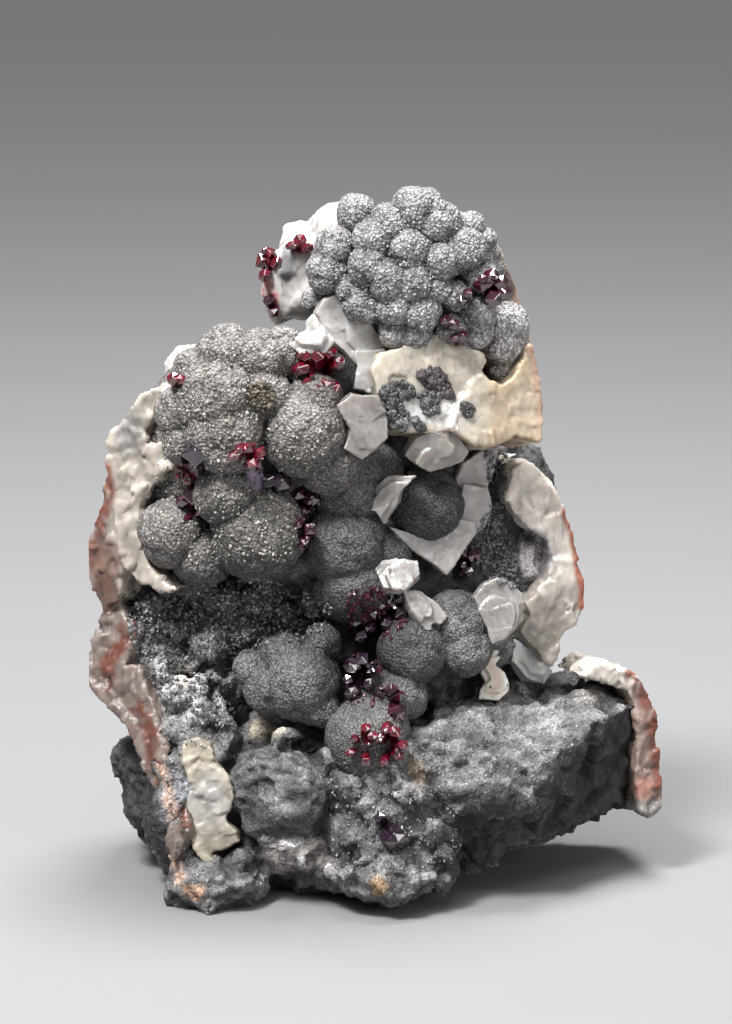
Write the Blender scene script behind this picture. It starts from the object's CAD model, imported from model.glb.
"""The look of the proustite specimen, in the frame of its CAD model. Metres, +Z up, -Y is the front."""

import math
import random

import bmesh
import bpy
import numpy as np
from mathutils import Matrix, Vector
from mathutils.bvhtree import BVHTree


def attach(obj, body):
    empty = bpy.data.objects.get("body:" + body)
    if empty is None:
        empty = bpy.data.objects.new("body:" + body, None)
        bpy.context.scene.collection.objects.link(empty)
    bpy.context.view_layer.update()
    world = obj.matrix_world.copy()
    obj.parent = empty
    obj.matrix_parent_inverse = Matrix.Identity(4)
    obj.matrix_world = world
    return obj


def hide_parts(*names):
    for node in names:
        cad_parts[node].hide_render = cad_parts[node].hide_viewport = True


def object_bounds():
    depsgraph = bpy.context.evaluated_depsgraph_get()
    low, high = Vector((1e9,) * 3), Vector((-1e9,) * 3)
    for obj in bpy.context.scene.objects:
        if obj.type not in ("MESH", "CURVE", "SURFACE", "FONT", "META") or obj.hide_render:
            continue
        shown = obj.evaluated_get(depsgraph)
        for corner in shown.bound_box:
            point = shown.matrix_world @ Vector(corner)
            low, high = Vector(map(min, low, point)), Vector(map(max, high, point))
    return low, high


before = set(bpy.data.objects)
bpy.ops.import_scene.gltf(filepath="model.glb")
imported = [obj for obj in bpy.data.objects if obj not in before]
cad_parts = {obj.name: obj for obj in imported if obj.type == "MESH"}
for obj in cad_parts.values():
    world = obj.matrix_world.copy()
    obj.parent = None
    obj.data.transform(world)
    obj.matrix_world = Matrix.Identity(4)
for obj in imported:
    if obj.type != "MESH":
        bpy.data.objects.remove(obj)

size_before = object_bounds()

MM = 0.001

# Sizes in millimetres
SPECIMEN_WIDTH = 63.5
CRYSTAL_ROOT = 1.2
CRYSTAL_STAND = 1.0
OUTLINE_DEPTH = 2

# Share of a dome that its own body fills, under the lobes
CORE_SHARE = 0.8

# Limits of how much a hollow darkens a colour and a ridge lightens it
DARKEST = 0.22
LIGHTEST = 1.5

# The front view that places are read in: columns run right and rows run down, in pixels
VIEW_COLUMNS = 732
VIEW_ROWS = 1024
SPECIMEN_COLUMNS = 577
VIEW_DISTANCE = 450 * MM
VIEW_ELEVATION = math.radians(12)
VIEW_TARGET = Vector((0, 0, 40.3 * MM))

PIXEL = SPECIMEN_WIDTH * MM / SPECIMEN_COLUMNS
FORWARD = Vector((0, math.cos(VIEW_ELEVATION), -math.sin(VIEW_ELEVATION)))
UPWARD = Vector((0, math.sin(VIEW_ELEVATION), math.cos(VIEW_ELEVATION)))
RIGHTWARD = Vector((1, 0, 0))
EYE = VIEW_TARGET - FORWARD * VIEW_DISTANCE

# Angular blocks: column, row, depth in mm, half sizes in mm (x, y, z), lean in degrees
ROCK_BLOCKS = [
    (330, 600, 6, (21, 12, 26), 0),
    (405, 400, 5, (9.5, 8.5, 17), 0),
    (500, 560, 8, (6.5, 8, 13), 0),
    (530, 482, 6, (2.8, 5, 5.2), -20),
    (182, 545, 5, (7, 8, 16), 0),
    (165, 640, 3, (5.5, 8, 9), 0),
    (330, 790, 0, (20, 17, 11), 0),
    (195, 770, -3, (6.2, 13.5, 12), 0),
    (152, 790, 3, (3.4, 9, 6.6), -20),
    (195, 860, -8, (3.2, 8, 6), -20),
    (288, 790, -11, (7.0, 7.5, 5.8), 0),
    (400, 800, -10, (9, 9, 8), 0),
    (215, 880, -13, (5.5, 7, 4.0), -20),
    (385, 862, -14, (8, 7, 4.6), 0),
    (300, 860, 4, (15, 13, 7), 0),
]

# Corners of the ledge that runs out to the right: column, row, depth in mm
LEDGE_CORNERS = [
    (430, 712, -8), (452, 690, 2), (520, 676, 7), (560, 668, 7), (612, 674, 7), (636, 690, 4),
    (638, 704, -4), (594, 722, -9), (560, 768, -12.5), (528, 797, -16), (490, 792, -17), (436, 790, -17),
    (470, 868, -12), (500, 858, -12), (545, 836, -8), (600, 818, -4), (636, 800, 1), (640, 760, 3),
    (560, 815, 8), (620, 790, 7), (450, 850, 8),
]

# Round lumps half sunk in the rock: column, row and radius, all in pixels
LUMPS = [
    (152, 606, 15), (172, 625, 18), (197, 606, 20), (228, 602, 22), (258, 600, 20), (212, 640, 22),
    (246, 634, 18), (184, 662, 18), (220, 676, 18), (288, 615, 17), (158, 672, 15), (308, 600, 14),
    (200, 690, 15), (236, 700, 14), (345, 790, 22), (352, 836, 26), (332, 762, 14), (410, 796, 16),
    (424, 770, 14), (352, 872, 13), (300, 850, 14), (240, 860, 16), (180, 700, 16), (170, 735, 14),
    (425, 830, 15), (440, 860, 14), (395, 868, 14), (460, 760, 15), (530, 815, 10),
]
LUMP_SINK = 0.35

# Round lobes: column, row and radius, all in pixels. Their depth follows the dome they grow on
CROWN_DOME = {"column": 412, "row": 278, "depth": 0, "half_width": 112, "half_height": 92, "bulge": 8.0}
CROWN_LOBES = [
    (418, 212, 25), (438, 224, 22), (472, 226, 13), (464, 250, 20), (484, 240, 10),
    (409, 251, 20), (414, 281, 18), (387, 279, 21), (389, 226, 20), (437, 288, 13),
    (455, 296, 13), (394, 306, 18), (421, 310, 18), (478, 313, 17), (506, 324, 21),
    (505, 346, 21), (502, 366, 14), (476, 332, 14), (451, 328, 13), (464, 342, 11),
    (395, 331, 14), (415, 333, 15), (414, 347, 10), (357, 214, 17), (376, 237, 20),
    (335, 247, 18), (329, 272, 20), (314, 300, 11), (372, 268, 21), (362, 302, 20),
    (350, 290, 14), (440, 262, 18), (480, 275, 14),
]

SHOULDER_DOME = {"column": 245, "row": 450, "depth": -1, "half_width": 135, "half_height": 135, "bulge": 9.5}
SHOULDER_LOBES = [
    (226, 358, 30), (258, 360, 28), (284, 352, 22), (196, 372, 21), (183, 412, 26),
    (218, 400, 42), (224, 432, 40), (190, 440, 24), (262, 398, 28), (303, 432, 41),
    (316, 400, 26), (225, 492, 29), (172, 532, 32), (192, 572, 24), (258, 532, 45),
    (205, 555, 30), (330, 462, 30),
]

# Single nodules: column, row, radius in pixels, depth of the centre in mm
UPPER_NODULES = [(338, 376, 25, -4.5), (350, 398, 20, -4.5)]
CENTRE_NODULES = [
    (345, 545, 42, -5.5), (354, 585, 40, -5.5), (385, 552, 24, -5.0), (350, 484, 38, -5.0),
    (375, 470, 26, -3.5), (425, 505, 36, -3.0),
]
LEFT_NODULES = [
    (301, 682, 37, -9.5), (272, 688, 25, -9.5), (284, 660, 26, -8.5), (322, 642, 17, -8.5),
    (250, 668, 16, -8.8),
    (318, 706, 20, -10.5),
]
RIGHT_NODULES = [
    (412, 650, 32, -8.0), (455, 625, 32, -5.5), (466, 650, 24, -7.0), (370, 697, 24, -9.0),
    (400, 697, 24, -9.5), (368, 738, 40, -12.0), (386, 680, 20, -8.0),
]

# Blocks of calcite, given like the rock's blocks
CROWN_CALCITE = [
    (412, 280, 5, (9.3, 6, 7.6), 0),
    (311, 272, 4, (4.4, 5, 5.4), -8),
    (334, 229, 4, (3.0, 4, 2.6), -25),
    (284, 288, 4, (2.2, 4, 4.2), 5),
]
LEFT_TOP_CALCITE = [(183, 370, 4, (2.0, 4, 3.0), 15)]

# Calcite slabs: the outline in pixels, a place on the front face (column, row, depth in mm), which way
# that face looks (x, y, z) and the thickness in mm
HONEY_CALCITE = [
    (
        [(484, 372), (490, 381), (503, 384), (516, 374), (524, 358), (529, 341), (533, 345), (538, 372),
         (543, 402), (544, 420), (541, 442), (528, 439), (515, 434), (508, 440), (497, 445), (484, 446),
         (470, 441), (458, 434), (447, 428), (452, 415), (462, 395), (475, 378)],
        (500, 410, -7.2), (0.3, -0.9, 0.25), 9,
    ),
    (
        [(497, 375), (505, 320), (506, 300), (499, 280), (490, 264), (488, 250), (492, 241), (500, 246),
         (505, 262), (516, 288), (526, 315), (533, 345), (538, 372), (525, 385), (505, 385)],
        (515, 320, -1.5), (0.3, -0.92, 0.15), 8,
    ),
    (
        [(380, 354), (405, 346), (425, 340), (437, 333), (452, 345), (470, 347), (484, 352),
         (488, 362), (482, 372), (490, 385), (486, 400), (475, 412), (462, 425), (447, 431), (430, 434),
         (410, 433), (396, 428), (386, 414), (380, 400), (376, 385), (372, 370)],
        (430, 400, -8.4), (0.25, -0.95, 0.2), 8,
    ),
]
LEFT_VEIN = [
    (
        [(162, 382), (175, 386), (165, 400), (155, 412), (148, 425), (147, 445), (165, 443), (177, 450),
         (172, 468), (158, 480), (150, 490), (141, 505), (139, 525), (143, 545), (150, 565), (165, 582),
         (176, 590), (165, 593), (150, 586), (135, 583), (127, 573), (117, 560), (119, 540), (114, 520),
         (114, 500), (108, 480), (106, 462), (107, 443), (115, 430), (128, 412), (140, 397)],
        (145, 480, -6.5), (-0.35, -0.93, 0.08), 8,
    ),
    (
        [(104, 475), (117, 480), (120, 505), (124, 530), (126, 548), (122, 575), (118, 597), (103, 611),
         (95, 600), (88, 572), (88, 545), (93, 524), (101, 505), (100, 490)],
        (104, 550, -4), (-0.6, -0.8, 0), 7,
    ),
    (
        [(104, 608), (117, 594), (124, 615), (134, 626), (130, 648), (123, 668), (141, 664), (147, 690),
         (157, 712), (164, 740), (167, 762), (175, 790), (188, 812), (190, 832), (179, 842), (172, 858),
         (162, 850), (168, 832), (160, 806), (148, 782), (138, 755), (127, 730), (114, 713), (99, 700),
         (89, 682), (86, 656), (94, 636)],
        (115, 660, -6), (-0.45, -0.85, 0.35), 9,
    ),
]
LOWER_PATCH = [
    (
        [(183, 744), (196, 738), (210, 742), (216, 760), (226, 775), (234, 792), (231, 808), (225, 820),
         (237, 832), (240, 842), (222, 850), (211, 853), (214, 866), (203, 862), (193, 846), (188, 830),
         (182, 815), (185, 800), (192, 790), (188, 775), (182, 762)],
        (205, 790, -15.1), (0, -0.96, 0.2), 4,
    ),
]
RIGHT_WALL = [
    (
        [(512, 472), (522, 462), (534, 462), (546, 474), (553, 488), (561, 502), (568, 518), (573, 532),
         (576, 548), (579, 563), (584, 585), (584, 605), (577, 622), (565, 632), (561, 645), (558, 660),
         (551, 668), (541, 655), (527, 642), (521, 630), (530, 618), (524, 603), (536, 592), (548, 578),
         (553, 560), (549, 541), (536, 531), (523, 523), (513, 512), (507, 500), (510, 486)],
        (550, 550, -2), (0.25, -0.95, 0.1), 8,
    ),
]
LEDGE_RIM = [
    (
        [(583, 677), (592, 668), (599, 663), (610, 665), (628, 671), (640, 677), (646, 690), (652, 702),
         (657, 715), (658, 735), (660, 755), (661, 775), (664, 790), (663, 805), (657, 815), (648, 818),
         (641, 811), (640, 800), (636, 785), (635, 765), (636, 745), (636, 722), (634, 704), (628, 690),
         (605, 682)],
        (648, 740, -4), (0.3, -0.95, 0.1), 9,
    ),
]

# Calcite blades: the outline in pixels, the place where the blade touches what is behind it, how far
# its front stands off there in mm, which way its face looks (x, y, z) and its thickness in mm
BLADES = {
    "calcite_blade_pointed": (
        [(288, 344), (306, 336), (305, 323), (313, 315), (320, 323), (334, 340), (326, 353), (300, 354)],
        (298, 348), 1.0, (-0.1, -0.9, 0.35), 1.4,
    ),
    "calcite_blade_curved": (
        [(316, 313), (323, 300), (336, 295), (350, 312), (371, 324), (390, 346), (400, 368), (397, 391),
         (376, 394), (354, 389), (358, 366), (347, 354), (332, 340), (322, 325)],
        (372, 326), 0.8, (0.25, -0.92, 0.2), 2.0,
    ),
    "calcite_blade_middle": (
        [(337, 405), (352, 394), (378, 396), (388, 420), (388, 438), (376, 449), (363, 460), (344, 448),
         (350, 425)],
        (346, 425), 1.0, (0.1, -0.95, 0.1), 2.2,
    ),
    "calcite_blade_round": (
        [(405, 457), (416, 438), (436, 428), (458, 436), (469, 452), (462, 462), (445, 468), (430, 472),
         (418, 466)],
        (440, 432), 0.4, (0.1, -0.9, -0.25), 2.6,
    ),
    "calcite_blade_long": (
        [(463, 464), (498, 446), (495, 470), (488, 487), (493, 504), (486, 528), (473, 536), (462, 552),
         (447, 575), (432, 563), (418, 554), (402, 541), (389, 526), (406, 532), (430, 537), (452, 526),
         (460, 518), (461, 500), (456, 478)],
        (404, 535), 0.8, (0.3, -0.92, 0.15), 1.8,
    ),
    "calcite_blade_arrow": (
        [(387, 477), (414, 476), (402, 489), (396, 505), (383, 525), (375, 511), (366, 510), (374, 489)],
        (376, 508), 0.6, (-0.35, -0.9, 0.1), 1.2,
    ),
    "calcite_blade_bright": (
        [(372, 563), (396, 558), (418, 560), (420, 574), (405, 590), (384, 588), (377, 575)],
        (384, 572), 1.2, (-0.05, -0.8, 0.6), 1.8,
    ),
    "calcite_blade_forked": (
        [(404, 590), (421, 590), (438, 602), (447, 616), (442, 624), (433, 623), (432, 630), (426, 630),
         (415, 618), (408, 604)],
        (428, 626), 1.0, (0.2, -0.85, 0.4), 1.8,
    ),
    "calcite_blade_disc": (
        [(474, 597), (484, 584), (497, 578), (512, 582), (523, 594), (524, 607), (519, 625), (508, 638),
         (492, 645), (487, 624), (479, 609)],
        (482, 610), 1.0, (0.15, -0.9, 0.2), 2.4,
    ),
    "calcite_blade_low": (
        [(513, 638), (528, 645), (540, 657), (553, 671), (545, 684), (528, 680), (514, 662)],
        (530, 678), 2.4, (0.25, -0.9, 0.3), 2.6,
    ),
    "calcite_hook": (
        [(463, 658), (480, 649), (498, 651), (491, 661), (504, 673), (509, 689), (498, 700), (478, 699),
         (480, 689), (486, 682), (478, 667)],
        (490, 692), 2.0, (0.0, -0.9, 0.35), 3.0,
    ),
}

# Proustite clusters: the root's column and row, then the crystals: column and row of the tip, how far
# the tip stands forward of the root in mm and the radius in mm
PROUSTITE = {
    "proustite_ruby": ((318, 372), [
        (297, 368, 1.6, 0.75), (303, 352, 1.5, 0.7), (318, 352, 1.8, 0.75), (332, 350, 1.5, 0.7),
        (341, 362, 1.4, 0.65), (326, 388, 1.5, 0.65), (336, 392, 1.1, 0.6), (308, 384, 1.2, 0.6),
    ]),
    "proustite_prism_dark": ((198, 466), [(195, 449, 1.7, 1.2)]),
    "proustite_chip_red": ((187, 467), [
        (178, 457, 1.0, 0.6), (181, 471, 1.2, 0.6), (190, 479, 1.2, 0.65), (201, 475, 1.0, 0.55),
    ]),
    "proustite_pink": ((247, 458), [
        (233, 456, 0.9, 0.6), (240, 447, 1.0, 0.55), (250, 446, 1.2, 0.65), (262, 452, 1.0, 0.6),
        (256, 466, 0.8, 0.55),
    ]),
    "proustite_column": ((257, 494), [(252, 463, 1.0, 0.75)]),
    "proustite_tablet": ((275, 488), [(284, 480, 1.1, 0.85), (267, 480, 0.9, 0.6)]),
    "proustite_prism_red": ((191, 510), [
        (197, 489, 1.5, 1.0), (184, 521, 0.9, 0.65), (181, 500, 0.9, 0.5), (203, 508, 0.8, 0.5),
    ]),
    "proustite_seam": ((304, 504), [(298, 492, 1.2, 0.7), (313, 497, 1.3, 0.7), (301, 514, 1.2, 0.65)]),
    "proustite_seam_low": ((303, 533), [(298, 523, 1.0, 0.6), (311, 529, 1.2, 0.6), (304, 545, 1.1, 0.6)]),
    "proustite_crown_right": ((492, 289), [
        (481, 284, 1.4, 0.8), (490, 275, 1.4, 0.8), (503, 281, 1.4, 0.7), (506, 293, 1.2, 0.65),
        (494, 300, 1.3, 0.8),
    ]),
    "proustite_crown_bead": ((467, 300), [(467, 292, 0.9, 0.5), (461, 301, 0.8, 0.4)]),
    "proustite_crown_spot": ((449, 327), [(445, 319, 0.9, 0.5), (455, 324, 0.9, 0.45)]),
    "proustite_crown_spark": ((459, 340), [(464, 335, 0.9, 0.45), (454, 337, 0.8, 0.4)]),
    "proustite_crown_left": ((271, 266), [
        (262, 260, 0.9, 0.7), (268, 250, 0.9, 0.65), (277, 262, 1.0, 0.6), (264, 276, 0.9, 0.6),
    ]),
    "proustite_crown_top": ((300, 248), [
        (290, 245, 0.8, 0.55), (300, 239, 0.9, 0.6), (308, 248, 0.8, 0.6),
    ]),
    "proustite_crown_low": ((272, 306), [(268, 298, 0.8, 0.55), (274, 314, 0.8, 0.5)]),
    "proustite_dark_upper": ((387, 611), [
        (402, 596, 1.4, 0.65), (392, 598, 1.4, 0.6), (376, 602, 1.4, 0.6), (370, 614, 1.2, 0.6),
        (387, 626, 1.2, 0.6), (402, 613, 1.2, 0.6),
    ]),
    "proustite_dark_side": ((362, 626), [
        (354, 619, 1.1, 0.55), (361, 637, 1.1, 0.55), (371, 628, 1.1, 0.5),
    ]),
    "proustite_dark_lower": ((360, 678), [
        (350, 664, 1.5, 0.6), (362, 657, 1.6, 0.65), (373, 667, 1.4, 0.55), (371, 685, 1.3, 0.6),
        (351, 694, 1.8, 0.6), (346, 680, 1.2, 0.5),
    ]),
    "proustite_brown": ((394, 702), [(391, 688, 1.2, 0.65), (400, 694, 1.0, 0.55), (396, 716, 1.2, 0.8)]),
    "proustite_spray_left": ((364, 748), [
        (366, 726, 1.5, 0.5), (373, 735, 1.5, 0.5), (353, 738, 1.1, 0.45), (349, 754, 1.0, 0.45),
        (366, 763, 1.2, 0.5),
    ]),
    "proustite_spray_right": ((388, 746), [
        (387, 726, 1.6, 0.55), (396, 731, 1.5, 0.5), (404, 745, 1.3, 0.5), (400, 757, 1.2, 0.5),
        (384, 764, 1.3, 0.5), (378, 737, 1.5, 0.5),
    ]),
    "proustite_ledge_prism": ((384, 826), [(398, 843, 1.8, 0.9), (379, 816, 1.0, 0.5)]),
    "proustite_deep_right": ((466, 562), [
        (459, 550, 1.2, 0.8), (475, 555, 1.2, 0.7), (466, 573, 1.0, 0.7),
    ]),
    "proustite_shoulder_bit": ((177, 384), [(172, 377, 0.8, 0.5), (182, 379, 0.8, 0.45)]),
}

# Finished surfaces that lines from the eye can meet
trees = []


def ray_to(column, row):
    """From the eye through a pixel of the front view, as long as the view distance."""
    sideways = (column - VIEW_COLUMNS / 2) * PIXEL
    upwards = (VIEW_ROWS / 2 - row) * PIXEL
    return FORWARD * VIEW_DISTANCE + RIGHTWARD * sideways + UPWARD * upwards


def seen_at(column, row, depth):
    """The point at this depth (its Y, in mm) that the front view shows at this pixel."""
    ray = ray_to(column, row)
    return EYE + ray * ((depth * MM - EYE.y) / ray.y)


def seen_on_plane(column, row, point, normal):
    """The point of a plane that the front view shows at this pixel."""
    ray = ray_to(column, row)
    return EYE + ray * ((point - EYE).dot(normal) / ray.dot(normal))


def surface_at(column, row):
    """Where the front view first meets a finished mass at this pixel, or passes beside them all."""
    ray = ray_to(column, row).normalized()
    hits = [tree.ray_cast(EYE, ray) for tree in trees]
    hits = [(distance, point) for point, _, _, distance in hits if point]
    if not hits:
        return seen_at(column, row, OUTLINE_DEPTH)
    return min(hits)[1]


def pixels_of(points):
    """Column and row of each point in the front view."""
    away = points - np.array(EYE)
    reach = away @ np.array(FORWARD)
    columns = VIEW_COLUMNS / 2 + away[:, 0] / reach * VIEW_DISTANCE / PIXEL
    rows = VIEW_ROWS / 2 - (away @ np.array(UPWARD)) / reach * VIEW_DISTANCE / PIXEL
    return columns, rows


# Noise that is the same in each run


def random_in(cells, seed):
    """Three numbers from 0 to 1 for each whole-numbered cell."""
    key = cells.astype(np.int64)
    mixed = key[:, 0] * 374761393 + key[:, 1] * 668265263 + key[:, 2] * 1274126177 + seed * 982451653
    mixed = (mixed & 0xFFFFFFFF).astype(np.uint32)
    made = []
    for _ in range(3):
        mixed = (mixed ^ (mixed >> 16)) * np.uint32(0x7FEB352D)
        mixed = (mixed ^ (mixed >> 15)) * np.uint32(0x846CA68B)
        mixed = mixed ^ (mixed >> 16)
        made.append(mixed / 4294967296.0)
    return np.stack(made, axis=1)


def smooth_noise(points, size, seed, octaves=3):
    """Soft noise from -1 to 1 with features of this size in mm."""
    total = np.zeros(len(points))
    strength = 1.0
    whole = 0.0
    for octave in range(octaves):
        scaled = points / (size * MM) * 2**octave
        base = np.floor(scaled)
        part = scaled - base
        part = part * part * (3 - 2 * part)
        value = np.zeros(len(points))
        for corner in range(8):
            step = np.array([corner & 1, corner >> 1 & 1, corner >> 2 & 1])
            share = np.prod(np.where(step == 1, part, 1 - part), axis=1)
            value += share * random_in(base + step, seed + octave)[:, 0]
        total += strength * (value * 2 - 1)
        whole += strength
        strength *= 0.5
    return total / whole


def nearest_seeds(points, size, seed):
    """Distance to the nearest scattered seed and to the second, the way to the nearest, and its numbers."""
    scaled = points / (size * MM)
    base = np.floor(scaled)
    nearest = np.full(len(points), 9.0)
    second = np.full(len(points), 9.0)
    way = np.zeros((len(points), 3))
    numbers = np.zeros((len(points), 3))
    for across in (-1, 0, 1):
        for along in (-1, 0, 1):
            for up in (-1, 0, 1):
                cell = base + np.array([across, along, up])
                drawn = random_in(cell, seed)
                offset = scaled - cell - drawn
                distance = np.linalg.norm(offset, axis=1)
                closer = distance < nearest
                second = np.where(closer, nearest, np.minimum(second, distance))
                nearest = np.where(closer, distance, nearest)
                way[closer] = offset[closer]
                numbers[closer] = drawn[closer]
    return nearest, second, way, numbers


def grains(points, size, seed):
    """Rounded grains: 1 at the middle of each and 0 in the creases between them."""
    nearest, _, _, _ = nearest_seeds(points, size, seed)
    return np.sqrt(np.clip(1 - (nearest / 0.85) ** 2, 0, 1))


def chips(points, size, seed):
    """Flat broken faces that meet at sharp steps, from about -1 to 1."""
    _, _, way, numbers = nearest_seeds(points, size, seed)
    tilt = (np.roll(numbers, 1, axis=1) - 0.5) * 2
    return np.clip(np.sum(way * tilt, axis=1) * 1.6 + (numbers[:, 2] - 0.5) * 0.6, -1, 1)


def soft_step(value, low, high):
    """0 below low and 1 above high, with a soft change between."""
    part = np.clip((value - low) / (high - low), 0, 1)
    return part * part * (3 - 2 * part)


def patch(columns, rows, centre, half_sizes, softness=0.35):
    """1 inside an ellipse of the front view and 0 outside, with a soft rim."""
    reach = np.hypot((columns - centre[0]) / half_sizes[0], (rows - centre[1]) / half_sizes[1])
    return 1 - soft_step(reach, 1 - softness, 1 + softness)


def within(columns, rows, outline):
    """1 inside an outline of the front view and 0 outside."""
    inside = np.zeros(len(columns), dtype=bool)
    for (column_a, row_a), (column_b, row_b) in zip(outline, outline[1:] + outline[:1]):
        if row_a == row_b:
            continue
        crosses = (row_a > rows) != (row_b > rows)
        beyond = columns < column_a + (rows - row_a) / (row_b - row_a) * (column_b - column_a)
        inside ^= crosses & beyond
    return inside.astype(float)


def near_line(columns, rows, line, width):
    """1 on a line of front-view points and 0 further than this many pixels from it."""
    nearest = np.full(len(columns), 1e9)
    for (column, row), (next_column, next_row) in zip(line, line[1:]):
        run = np.array([next_column - column, next_row - row], dtype=float)
        along = ((columns - column) * run[0] + (rows - row) * run[1]) / (run @ run)
        along = np.clip(along, 0, 1)
        reach = np.hypot(columns - column - along * run[0], rows - row - along * run[1])
        nearest = np.minimum(nearest, reach)
    return 1 - soft_step(nearest, 0.4 * width, width)


# Meshes


def placed(name, data):
    """A new object of the scene."""
    obj = bpy.data.objects.new(name, data)
    bpy.context.scene.collection.objects.link(obj)
    return obj


def add_lobe(bm, centre, radius, rounds=4):
    bmesh.ops.create_icosphere(bm, subdivisions=rounds, radius=radius, matrix=Matrix.Translation(centre))


def add_block(bm, centre, half_sizes, lean, seed):
    """An angular block: a coarse icosphere whose corners are pushed in and out."""
    source = random.Random(seed)
    made = bmesh.ops.create_icosphere(bm, subdivisions=2, radius=1)
    for corner in made["verts"]:
        corner.co *= source.uniform(0.84, 1.16)
    stretch = Matrix.Diagonal((*[size * MM for size in half_sizes], 1))
    turn = Matrix.Rotation(math.radians(lean), 4, "Y")
    bmesh.ops.transform(bm, matrix=Matrix.Translation(centre) @ turn @ stretch, verts=made["verts"])


def blocks_mesh(blocks):
    bm = bmesh.new()
    for number, (column, row, depth, half_sizes, lean) in enumerate(blocks):
        add_block(bm, seen_at(column, row, depth), half_sizes, lean, number)
    return bm


def add_plate(bm, outline, point, normal, thickness):
    """A flat plate whose front face lies in a plane and has this outline in the front view."""
    face = bm.faces.new([bm.verts.new(seen_on_plane(column, row, point, normal)) for column, row in outline])
    back = bmesh.ops.extrude_face_region(bm, geom=[face])
    moved = [part for part in back["geom"] if isinstance(part, bmesh.types.BMVert)]
    bmesh.ops.translate(bm, vec=-normal * thickness * MM, verts=moved)


def slabs_mesh(slabs):
    bm = bmesh.new()
    for outline, place, facing, thickness in slabs:
        add_plate(bm, outline, seen_at(*place), Vector(facing).normalized(), thickness)
    bmesh.ops.recalc_face_normals(bm, faces=bm.faces)
    return bm


def dome_depth(dome, column, row):
    """Depth in mm of a dome's face at a pixel; its rim is flat."""
    across = (column - dome["column"]) / dome["half_width"]
    along = (row - dome["row"]) / dome["half_height"]
    return dome["depth"] - dome["bulge"] * math.sqrt(max(0.05, 1 - across**2 - along**2))


def dome_mesh(dome, lobes):
    """Lobes over the face of a dome, and the dome's own body behind them."""
    bm = bmesh.new()
    for column, row, radius in lobes:
        add_lobe(bm, seen_at(column, row, dome_depth(dome, column, row)), radius * PIXEL)
    half_sizes = (dome["half_width"] * PIXEL, dome["bulge"] * MM, dome["half_height"] * PIXEL)
    body = bmesh.ops.create_icosphere(bm, subdivisions=4, radius=CORE_SHARE)
    place = Matrix.Translation(seen_at(dome["column"], dome["row"], dome["depth"]))
    bmesh.ops.transform(bm, matrix=place @ Matrix.Diagonal((*half_sizes, 1)), verts=body["verts"])
    return bm


def nodules_mesh(nodules):
    bm = bmesh.new()
    for column, row, radius, depth in nodules:
        add_lobe(bm, seen_at(column, row, depth), radius * PIXEL)
    return bm


def evaluated_and_removed(obj):
    """The mesh that an object's modifiers make; the object goes."""
    graph = bpy.context.evaluated_depsgraph_get()
    graph.update()
    made = bpy.data.meshes.new_from_object(obj.evaluated_get(graph))
    bpy.data.objects.remove(obj)
    return made


def fused(name, bm, voxel, roughness=None):
    """Joins overlapping shapes into one surface of small faces; voxel in mm."""
    mesh = bpy.data.meshes.new(name)
    bm.to_mesh(mesh)
    bm.free()
    obj = placed(name, mesh)
    remesh = obj.modifiers.new("fuse", "REMESH")
    remesh.mode = "VOXEL"
    remesh.voxel_size = voxel * MM * 1.0
    if roughness:
        texture = bpy.data.textures.new(f"{name}_roughness", "CLOUDS")
        texture.noise_scale = roughness[0] * MM
        texture.noise_depth = 3
        modifier = obj.modifiers.new("roughness", "DISPLACE")
        modifier.texture = texture
        modifier.texture_coords = "GLOBAL"
        modifier.strength = roughness[1] * MM
        modifier.mid_level = 0.5
    return evaluated_and_removed(obj)


def points_of(mesh):
    points = np.empty(len(mesh.vertices) * 3, dtype=np.float32)
    mesh.vertices.foreach_get("co", points)
    return points.reshape(-1, 3).astype(np.float64)


def normals_of(mesh):
    mesh.update()
    normals = np.empty(len(mesh.vertices) * 3, dtype=np.float32)
    mesh.vertex_normals.foreach_get("vector", normals)
    return normals.reshape(-1, 3).astype(np.float64)


def move_points(mesh, points):
    mesh.vertices.foreach_set("co", points.astype(np.float32).ravel())
    mesh.update()


def push_out(mesh, heights):
    """Moves each point along its normal; heights in mm."""
    move_points(mesh, points_of(mesh) + normals_of(mesh) * heights[:, None] * MM)


def hollowness(mesh, rounds):
    """How far each point lies below its smoothed surroundings, in mm; less than 0 on ridges."""
    edges = np.empty(len(mesh.edges) * 2, dtype=np.int32)
    mesh.edges.foreach_get("vertices", edges)
    first, second = edges.reshape(-1, 2).T
    points = points_of(mesh)
    count = np.bincount(edges, minlength=len(points))[:, None]
    places = points
    for _ in range(rounds):
        total = np.stack([
            np.bincount(first, places[second, axis], len(points))
            + np.bincount(second, places[first, axis], len(points))
            for axis in range(3)
        ], axis=1)
        places = 0.3 * places + 0.7 * total / count
    return np.sum((places - points) * normals_of(mesh), axis=1) / MM


def shaded(mesh, colours, strength, rounds=40):
    """Darker in hollows and lighter on ridges."""
    return colours * np.clip(1 - strength * hollowness(mesh, rounds), DARKEST, LIGHTEST)[:, None]


def set_tint(mesh, colours):
    """Stores a colour for each point, which the material reads."""
    layer = mesh.color_attributes.new("tint", "FLOAT_COLOR", "POINT")
    flat = np.concatenate([np.clip(colours, 0, 1), np.ones((len(colours), 1))], axis=1).astype(np.float32)
    layer.data.foreach_set("color", flat.ravel())


def mixed(colours, other, share):
    """Each point's colour moved towards another colour by its share."""
    return colours * (1 - share[:, None]) + np.array(other) * share[:, None]


def keep_inside(mesh):
    """Nothing goes below the resting plane or out of the CAD model's box."""
    low, high = np.array(size_before[0]), np.array(size_before[1])
    move_points(mesh, np.clip(points_of(mesh), low, high))


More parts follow.
